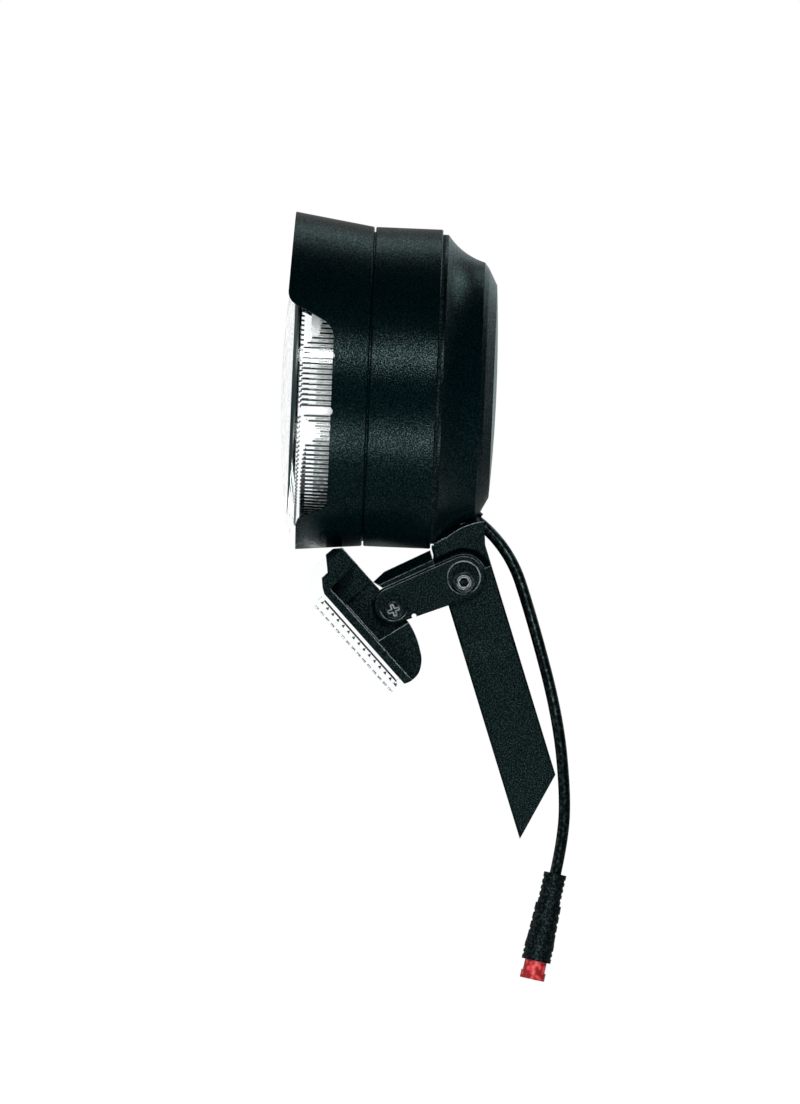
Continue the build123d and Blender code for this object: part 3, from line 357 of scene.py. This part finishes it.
def clear_plastic(name):
    """Clear moulded plastic, very slightly uneven."""
    material, tree, shader = new_finish(name)
    for socket, value in (
        ("Base Color", (*CLEAR_COLOUR, 1.0)),
        ("Transmission Weight", 1.0),
        ("IOR", CLEAR_IOR),
        ("Coat Weight", CLEAR_GLOSS),
        ("Coat Roughness", 0.0),
        ("Roughness", 0.0),
    ):
        shader.inputs[socket].default_value = value
    flow = noise(tree, CLEAR_FLOW)
    inputs = {"Strength": CLEAR_FLOW_STRENGTH, "Distance": CLEAR_FLOW_DEPTH, "Height": flow}
    tree.links.new(add_node(tree, "ShaderNodeBump", inputs).outputs["Normal"], shader.inputs["Normal"])
    return material


def rim_shade_lens():
    """Clear lens with painted shade, a dark band, on its front corner outside its clear face."""
    material = clear_plastic("clear lens plastic")
    tree = material.node_tree
    clear = tree.nodes["Principled BSDF"].outputs["BSDF"]
    parts = parts_of(tree, place_of(tree))
    below = maths(tree, "MINIMUM", maths(tree, "SUBTRACT", parts["Z"], LAMP_Z - RIM_SHADE_TAPER_START), 0.0)
    along = maths(tree, "MULTIPLY_ADD", below, -RIM_SHADE_TAPER, parts["Y"])
    front = maths(tree, "LESS_THAN", along, SEAM_Y - RIM_SHADE_BACK)
    radius = distance_from(tree, LAMP_CENTRE, ACROSS_LAMP)
    outer = maths(tree, "GREATER_THAN", radius, RIM_SHADE_INNER_R)
    # The dark band is painted shade, not a tint of the plastic
    paint = {"Base Color": (*RIM_SHADE_COLOUR, 1.0), "Roughness": RIM_SHADE_ROUGHNESS}
    rim_shade = add_node(tree, "ShaderNodeBsdfPrincipled", paint).outputs["BSDF"]
    corner = maths(tree, "MULTIPLY", front, outer)
    mixed = add_node(tree, "ShaderNodeMixShader", {"Fac": corner, 1: clear, 2: rim_shade}).outputs["Shader"]
    tree.links.new(mixed, tree.nodes["Material Output"].inputs["Surface"])
    return material


# Black plastics and rubbers
lamp_black = moulded(
    "lamp black plastic", (0.0004, 0.0055, 0.0072),
    gloss=0.085, roughness=0.27, grain=MOULD_GRAIN, speck=MOULD_SPECK, edge=MOULD_EDGE,
)
stem_black = moulded(
    "stem black plastic", (0.0005, 0.0045, 0.0055),
    gloss=0.16, roughness=0.36, grain=MOULD_GRAIN, speck=MOULD_SPECK, edge=MOULD_EDGE,
)
cable_black = moulded(
    "cable black sheath", (0.0012, 0.0022, 0.0026),
    gloss=0.25, roughness=0.36, grain=900.0, speck=0.15,
)
plug_black = moulded(
    "plug black rubber", (0.0012, 0.0022, 0.0026),
    gloss=0.2, roughness=0.5, grain=1500.0, speck=0.4, edge=PLUG_EDGE,
)
# Rubber of the seals, also the dark loop on the reflector, painted shade of a gap
seal_black_and_gap_shade = moulded(
    "seal rubber and gap shade", (0.004, 0.005, 0.006), gloss=0.2, roughness=0.7, grain=1500.0, speck=0.2
)
part_dark = moulded(
    "dark component", (0.02, 0.02, 0.022), gloss=0.4, roughness=0.5, grain=1500.0, speck=0.1
)

# Coloured plastics
board_green = moulded(
    "circuit board", (0.02, 0.12, 0.05),
    gloss=0.5, roughness=0.35, grain=400.0, speck=0.05, tint=WHITE,
)
emitter_gold = moulded(
    "emitter phosphor", (0.75, 0.6, 0.12),
    gloss=0.5, roughness=0.3, grain=900.0, speck=0.05, tint=WHITE,
)
insert_red = moulded(
    "insert coral red", (0.64, 0.04, 0.043),
    gloss=0.4, roughness=0.4, grain=700.0, speck=0.08, tint=WHITE,
)

# Blackened steel and bare metals
black_steel = moulded(
    "blackened steel", (0.0015, 0.003, 0.0035),
    gloss=0.3, roughness=0.3, grain=1200.0, speck=0.1, edge=STEEL_EDGE,
)
# Pale edges: painted highlights where light would catch them, broken into patches like wear
wear_and_highlight_edges(stem_black, STEM_WEAR_AND_HIGHLIGHT_RADIUS, STEM_WEAR_AND_HIGHLIGHT, STEM_WEAR_AND_HIGHLIGHT_LOWEST, around=RECESS_REACH)
wear_and_highlight_edges(black_steel, STEEL_WEAR_AND_HIGHLIGHT_RADIUS, STEEL_WEAR_AND_HIGHLIGHT, EVERY_WAY)
bright_steel = metal("bright steel", (0.55, 0.56, 0.58), roughness=0.3)
heat_metal = metal("heat sink aluminium", (0.72, 0.73, 0.75), roughness=0.4)
pin_brass = metal("pin brass", (0.75, 0.55, 0.25), roughness=0.25)
mirror_bright = mirror_bowl()

# Clear plastics, and what shows in them: painted shade for the dark ribs, dots and prisms
lens_clear = rim_shade_lens()
prism_clear = clear_plastic("prism lens plastic")
# Dark ribs and dots: painted shade for the dark lines that refraction draws in the lens wall
rib_dark = moulded(
    "lens rib shadow", (0.006, 0.012, 0.013), gloss=0.2, roughness=0.5, grain=900.0, speck=0.05
)
# Dark prisms: painted shade for the dark pattern that the reflector's prisms show
prism_dark = moulded(
    "prism shadow", (0.05, 0.07, 0.07), gloss=0.2, roughness=0.4, grain=900.0, speck=0.05
)
rib_grey = moulded(
    "lens rib haze", (0.35, 0.38, 0.38), gloss=0.2, roughness=0.5, grain=900.0, speck=0.05
)

finishes = {
    "lamp_plastic": lamp_black,
    "stem_plastic": stem_black,
    "clear_lens": lens_clear,
    "prism_lens": prism_clear,
    "mirror_coating": mirror_bright,
    "seal_rubber": seal_black_and_gap_shade,
    "circuit_board": board_green,
    "emitter": emitter_gold,
    "heat_sink_metal": heat_metal,
    "steel": bright_steel,
    "black_steel": black_steel,
    "dark_component": part_dark,
    "brass": pin_brass,
    "cable_rubber": cable_black,
    "connector_rubber": plug_black,
    "insert_red": insert_red,
}
for part in frame["record"]["subparts"]:
    node = frame["nodes"][part["node"]]
    node.data.materials.clear()
    node.data.materials.append(finishes[part["material_slot"]])


def placed(name, data):
    """An object of the scene, at the origin."""
    thing = bpy.data.objects.new(name, data)
    bpy.context.scene.collection.objects.link(thing)
    return thing


def plain_mesh(source):
    """The mesh that an object's curve or node group makes; the object itself is removed."""
    bpy.context.view_layer.update()
    made = source.evaluated_get(bpy.context.evaluated_depsgraph_get())
    mesh = bpy.data.meshes.new_from_object(made)
    bpy.data.objects.remove(source)
    return mesh


def cable_line(name):
    """The cable's smooth centreline through its control points."""
    curve = bpy.data.curves.new(name, "CURVE")
    curve.dimensions = "3D"
    spline = curve.splines.new("NURBS")
    spline.points.add(len(CABLE_ROUTE) - 1)
    for point, place in zip(spline.points, CABLE_ROUTE):
        point.co = (*[value * MM for value in place], 1.0)
    spline.order_u = CABLE_ORDER
    spline.use_endpoint_u = True
    spline.resolution_u = CABLE_STEPS
    return curve


def cable_tube():
    """The cable as a mesh tube between the lamp head and the stem."""
    curve = cable_line("cable_tube")
    curve.bevel_depth = CABLE_DIAMETER / 2
    curve.bevel_resolution = CABLE_ROUNDNESS
    curve.use_fill_caps = True
    mesh = plain_mesh(placed("cable_tube_source", curve))
    mesh.materials.clear()
    mesh.materials.append(cable_black)
    for face in mesh.polygons:
        face.use_smooth = True
    return placed("cable", mesh)


path_mesh = plain_mesh(placed("cable_path_source", cable_line("cable_path")))
cable = cable_tube()
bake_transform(cable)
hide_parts("cable_upper", "cable_lower")


def new_group(name, sockets):
    """A node group with named inputs, and the outputs that hand them on."""
    tree = bpy.data.node_groups.new(name, "GeometryNodeTree")
    for label, kind in sockets.items():
        tree.interface.new_socket(label, in_out="INPUT", socket_type="NodeSocket" + kind)
    tree.interface.new_socket("Geometry", in_out="OUTPUT", socket_type="NodeSocketGeometry")
    return tree, tree.nodes.new("NodeGroupInput").outputs


def end_group(tree, instances, material):
    """The last steps of a group: real geometry and its material."""
    real = add_node(tree, "GeometryNodeRealizeInstances", {"Geometry": instances}).outputs["Geometry"]
    painted = add_node(tree, "GeometryNodeSetMaterial", {"Geometry": real, "Material": material})
    add_node(tree, "NodeGroupOutput", {"Geometry": painted.outputs["Geometry"]})


def moved(tree, geometry, change):
    """Geometry after a change that names a translation, a rotation or both."""
    return add_node(tree, "GeometryNodeTransform", {"Geometry": geometry, **change}).outputs["Geometry"]


def vector(tree, x=0.0, y=0.0, z=0.0):
    """A vector of three values or outputs."""
    return add_node(tree, "ShaderNodeCombineXYZ", {"X": x, "Y": y, "Z": z}).outputs["Vector"]


def made_from_group(name, tree, values):
    """A piece whose plain mesh comes from a node group with its named inputs set."""
    host = placed(name + "_source", bpy.data.meshes.new(name + "_source"))
    modifier = host.modifiers.new(name, "NODES")
    modifier.node_group = tree
    for socket in tree.interface.items_tree:
        if socket.in_out == "INPUT":
            modifier[socket.identifier] = values[socket.name]
    return placed(name, plain_mesh(host))


def rib_length(tree, height, reach_points):
    """How many units long a rib is, from the height of its place."""
    low, high = reach_points[0][0], reach_points[-1][0]
    longest = max(reach for level, reach in reach_points)
    curve = add_node(tree, "ShaderNodeFloatCurve", {"Value": ranged(tree, height, (low * MM, high * MM))})
    points = curve.mapping.curves[0].points
    points[0].location = (0.0, reach_points[0][1] / longest)
    points[-1].location = (1.0, reach_points[-1][1] / longest)
    for level, reach in reach_points[1:-1]:
        points.new((level - low) / (high - low), reach / longest)
    curve.mapping.update()
    return maths(tree, "MULTIPLY", curve.outputs["Value"], longest)


def without_gaps(tree, geometry, height, gaps):
    """The places of ribs, apart from those in the plain stretches of the wall."""
    for centre, half_width in gaps:
        inputs = {"A": height, "B": centre * MM, "Epsilon": half_width * MM}
        near = add_node(tree, "FunctionNodeCompare", inputs, data_type="FLOAT", operation="EQUAL")
        cut = {"Geometry": geometry, "Selection": near.outputs["Result"]}
        geometry = add_node(tree, "GeometryNodeDeleteGeometry", cut).outputs["Geometry"]
    return geometry


def rib_group(name, reach_points):
    """Node group that sets ribs evenly round the lamp's axis, each as long as its height asks."""
    tree, given = new_group(name, {
        "Count": "Int",
        "Phase": "Float",
        "Radius": "Float",
        "Width": "Float",
        "Depth": "Float",
        "Back": "Float",
        "Centre Height": "Float",
        "Material": "Material",
    })
    circle = add_node(tree, "GeometryNodeMeshCircle", {
        "Vertices": given["Count"],
        "Radius": given["Radius"],
    })
    upright = vector(tree, math.pi / 2, given["Phase"])
    ring = moved(tree, circle.outputs["Mesh"], {"Rotation": upright})
    place = tree.nodes.new("GeometryNodeInputPosition").outputs["Position"]
    height = parts_of(tree, place)["Z"]
    size = vector(tree, given["Width"], RIB_UNIT, given["Depth"])
    rib = add_node(tree, "GeometryNodeMeshCube", {"Size": size}).outputs["Mesh"]
    turn = add_node(tree, "FunctionNodeAlignRotationToVector", {"Vector": place}, axis="Z", pivot_axis="Y")
    outward = turn.outputs["Rotation"]
    ribs = add_node(tree, "GeometryNodeInstanceOnPoints", {
        "Points": without_gaps(tree, ring, height, RIB_GAPS),
        "Instance": moved(tree, rib, {"Translation": (0.0, -RIB_UNIT / 2, 0.0)}),
        "Rotation": outward,
        "Scale": vector(tree, 1.0, rib_length(tree, height, reach_points), 1.0),
    })
    shift = vector(tree, 0.0, given["Back"], given["Centre Height"])
    end_group(tree, moved(tree, ribs.outputs["Instances"], {"Translation": shift}), given["Material"])
    return tree


def lens_ribs(name, material, reach_points, phase, width, back):
    """One ring of ribs on the inside of the lens wall."""
    piece = made_from_group(name, rib_group(name, reach_points), {
        "Count": RIB_COUNT,
        "Phase": phase,
        "Radius": RIB_R - RIB_DEPTH / 2,
        "Width": width,
        "Depth": RIB_DEPTH,
        "Back": SEAM_Y - back,
        "Centre Height": LAMP_Z,
        "Material": material,
    })
    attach(piece, "head")


lens_ribs("lens_ribs", rib_dark, RIB_REACH, RIB_PHASE, RIB_WIDTH, RIB_BACK)
lens_ribs("lens_fine_ribs", rib_grey, FINE_RIB_REACH, HALF_WAY_PHASE, FINE_RIB_WIDTH, RIB_BACK)
lens_ribs("lens_dots", rib_dark, DOT_REACH, HALF_WAY_PHASE, RIB_WIDTH, DOT_BACK)


def pyramid(tree):
    """A pyramid on three sides, one unit across and one high."""
    inputs = {"Vertices": 3, "Radius Bottom": 0.5, "Depth": 1.0}
    return add_node(tree, "GeometryNodeMeshCone", inputs).outputs["Mesh"]


def block(tree):
    """A block of one unit each way."""
    return add_node(tree, "GeometryNodeMeshCube", {}).outputs["Mesh"]


def row_group(name, element):
    """Node group that repeats a small element in rows and columns on the reflector's tilted plate."""
    tree, given = new_group(name, {
        "Columns": "Int",
        "Rows": "Int",
        "Area Width": "Float",
        "Area Height": "Float",
        "Element Size": "Vector",
        "Centre": "Vector",
        "Tilt": "Float",
        "Material": "Material",
    })
    grid = add_node(tree, "GeometryNodeMeshGrid", {
        "Size X": given["Area Width"],
        "Size Y": given["Area Height"],
        "Vertices X": given["Columns"],
        "Vertices Y": given["Rows"],
    })
    rows = add_node(tree, "GeometryNodeInstanceOnPoints", {
        "Points": grid.outputs["Mesh"],
        "Instance": element(tree),
        "Scale": given["Element Size"],
    })
    turn = vector(tree, given["Tilt"])
    laid = moved(tree, rows.outputs["Instances"], {"Translation": given["Centre"], "Rotation": turn})
    end_group(tree, laid, given["Material"])
    return tree


def plate_rows(name, element, material, columns, column_pitch, size, back):
    """Rows of one element across the reflector's plate, at the prisms' pitch."""
    piece = made_from_group(name, row_group(name, element), {
        "Columns": columns,
        "Rows": PRISM_ROWS,
        "Area Width": (columns - 1) * column_pitch,
        "Area Height": (PRISM_ROWS - 1) * PRISM_PITCH,
        "Element Size": size,
        "Centre": tuple(PLATE_ORIGIN + PLATE_DOWN * PRISM_CENTRE + PLATE_BACK * back),
        "Tilt": -PLATE_TILT,
        "Material": material,
    })
    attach(piece, "reflector")


plate_rows("reflector_prisms", pyramid, prism_dark, PRISM_COLUMNS, PRISM_PITCH, PRISM_SIZE, PRISM_BACK)
plate_rows("reflector_ridges", block, rib_grey, RIDGE_COLUMNS, RIDGE_PITCH, RIDGE_SIZE, RIDGE_BACK)


def gap_shade_section(side, along):
    """The four points of the dark loop's square section at one corner."""
    inward = -math.copysign(1.0, along - (GAP_SHADE_TOP + GAP_SHADE_BOTTOM) / 2)
    points = []
    for inset in (0.0, GAP_SHADE_THICK):
        for lift in (-GAP_SHADE_THICK / 2, GAP_SHADE_THICK / 2):
            across = Vector((side * (GAP_SHADE_HALF - inset), 0.0, 0.0))
            down = PLATE_DOWN * (along + inward * inset)
            points.append(PLATE_ORIGIN + across + down + PLATE_BACK * (GAP_SHADE_BACK + lift))
    return points


def reflector_gap_shade():
    """A thin dark closed loop between the reflector's clear tray and its housing: painted shade for the
    dark gap line there.
    """
    corners = [(-1, GAP_SHADE_TOP), (1, GAP_SHADE_TOP), (1, GAP_SHADE_BOTTOM), (-1, GAP_SHADE_BOTTOM)]
    points = [tuple(point) for side, along in corners for point in gap_shade_section(side, along)]
    faces = []
    for corner in range(4):
        here, there = 4 * corner, 4 * ((corner + 1) % 4)
        for first, second in ((0, 1), (1, 3), (3, 2), (2, 0)):
            faces.append((here + first, here + second, there + second, there + first))
    mesh = bpy.data.meshes.new("reflector_gap_shade")
    mesh.from_pydata(points, [], faces)
    shell = bmesh.new()
    shell.from_mesh(mesh)
    bmesh.ops.recalc_face_normals(shell, faces=shell.faces)
    shell.to_mesh(mesh)
    shell.free()
    mesh.materials.append(seal_black_and_gap_shade)
    piece = placed("reflector_gap_shade", mesh)
    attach(piece, "reflector")


reflector_gap_shade()


def photo_camera():
    """The camera at the photograph's place, on +X; its sensor's width is the frame's height."""
    data = bpy.data.cameras.new("camera")
    data.sensor_width = SENSOR_MM
    data.lens = SENSOR_MM * CAMERA_DISTANCE / (PHOTO_HEIGHT_PX / PX_PER_MM * MM)
    camera = placed("camera", data)
    right = Vector((0, math.cos(CAMERA_ROLL), math.sin(CAMERA_ROLL)))
    up = Vector((0, -math.sin(CAMERA_ROLL), math.cos(CAMERA_ROLL)))
    back = right.cross(up)
    turn = Matrix((right, up, back)).transposed().to_4x4()
    camera.matrix_world = Matrix.Translation(AIM + back * CAMERA_DISTANCE) @ turn
    bpy.context.scene.camera = camera


photo_camera()


def soft_light(name, azimuth, elevation, distance, size, watts, tint=WHITE):
    """A rectangular lamp that faces the object; azimuth 0 is in front of it at -Y, 90 at +X."""
    data = bpy.data.lights.new(name, "AREA")
    data.shape = "RECTANGLE"
    data.size, data.size_y = size
    data.energy = watts
    data.color = tint
    light = placed(name, data)
    turn, rise = math.radians(azimuth), math.radians(elevation)
    way = Vector((math.sin(turn) * math.cos(rise), -math.cos(turn) * math.cos(rise), math.sin(rise)))
    light.location = Vector((0.0, AIM.y, LAMP_Z)) + way * distance
    light.rotation_mode = "QUATERNION"
    light.rotation_quaternion = (-way).to_track_quat("-Z", "Y")


soft_light("upper window", azimuth=94, elevation=21.5, distance=0.9, size=(0.26, 0.17), watts=3.0)
soft_light("lower window", azimuth=94, elevation=-38, distance=0.5, size=(0.16, 0.14), watts=0.8)
soft_light(
    "far top panel", azimuth=270, elevation=58, distance=1.0, size=(0.8, 0.4), watts=1.5, tint=PALE_CYAN
)
soft_light(
    "rear panel", azimuth=215, elevation=38, distance=1.0, size=(0.3, 0.25), watts=0.9, tint=PALE_CYAN
)
soft_light("front panel", azimuth=0, elevation=25, distance=1.2, size=(0.7, 0.5), watts=0.6)
soft_light(
    "back fill", azimuth=238, elevation=10, distance=1.0, size=(0.9, 0.6), watts=1.0, tint=PALE_CYAN
)


def seen_rays(tree):
    """1 for what the camera sees, straight, through clear plastic or off its gloss, 0 for the rest."""
    path = tree.nodes.new("ShaderNodeLightPath").outputs
    through = maths(tree, "GREATER_THAN", path["Transmission Depth"], HALF_A_BOUNCE)
    direct = maths(tree, "LESS_THAN", path["Glossy Depth"], HALF_A_BOUNCE)
    sharp = maths(tree, "MAXIMUM", maths(tree, "MULTIPLY", through, direct), path["Is Singular Ray"])
    return maths(tree, "MAXIMUM", sharp, path["Is Camera Ray"])


def room_light(tree):
    """How bright a reflection's way is: dim on the camera's side, brighter behind and ahead of the lamp."""
    way = parts_of(tree, tree.nodes.new("ShaderNodeTexCoord").outputs["Generated"])
    behind = ranged(tree, way["X"], ROOM_BEHIND_SPAN, ROOM_FRONT, ROOM_BEHIND, "SMOOTHSTEP")
    ahead = ranged(tree, way["Y"], ROOM_AHEAD_SPAN, 0.0, ROOM_AHEAD, "SMOOTHSTEP")
    return maths(tree, "MAXIMUM", behind, ahead)


def white_room():
    """Plain surroundings that look white."""
    world = bpy.data.worlds.new("white room")
    bpy.context.scene.world = world
    world.use_nodes = True
    tree = world.node_tree
    sky = tree.nodes["Background"]
    sky.inputs["Color"].default_value = (*WHITE, 1.0)
    levels = {"Factor": seen_rays(tree), "A": room_light(tree), "B": 1.0}
    strength = add_node(tree, "ShaderNodeMix", levels, data_type="FLOAT").outputs["Result"]
    tree.links.new(strength, sky.inputs["Strength"])


def pale_floor():
    """A floor that looks white."""
    material, tree, shader = new_finish("pale floor")
    shader.inputs["Base Color"].default_value = (*FLOOR_COLOUR, 1.0)
    shader.inputs["Roughness"].default_value = FLOOR_ROUGHNESS
    shader.inputs["Specular IOR Level"].default_value = 0.0
    shader.inputs["Emission Color"].default_value = (*WHITE, 1.0)
    tree.links.new(seen_rays(tree), shader.inputs["Emission Strength"])
    half = FLOOR_SIZE / 2
    corners = [(x * half, y * half, -FLOOR_DROP) for x, y in ((-1, -1), (1, -1), (1, 1), (-1, 1))]
    mesh = bpy.data.meshes.new("floor")
    mesh.from_pydata(corners, [], [(0, 1, 2, 3)])
    mesh.materials.append(material)
    placed("floor", mesh)


white_room()
pale_floor()

bpy.context.scene.view_settings.view_transform = "Standard"
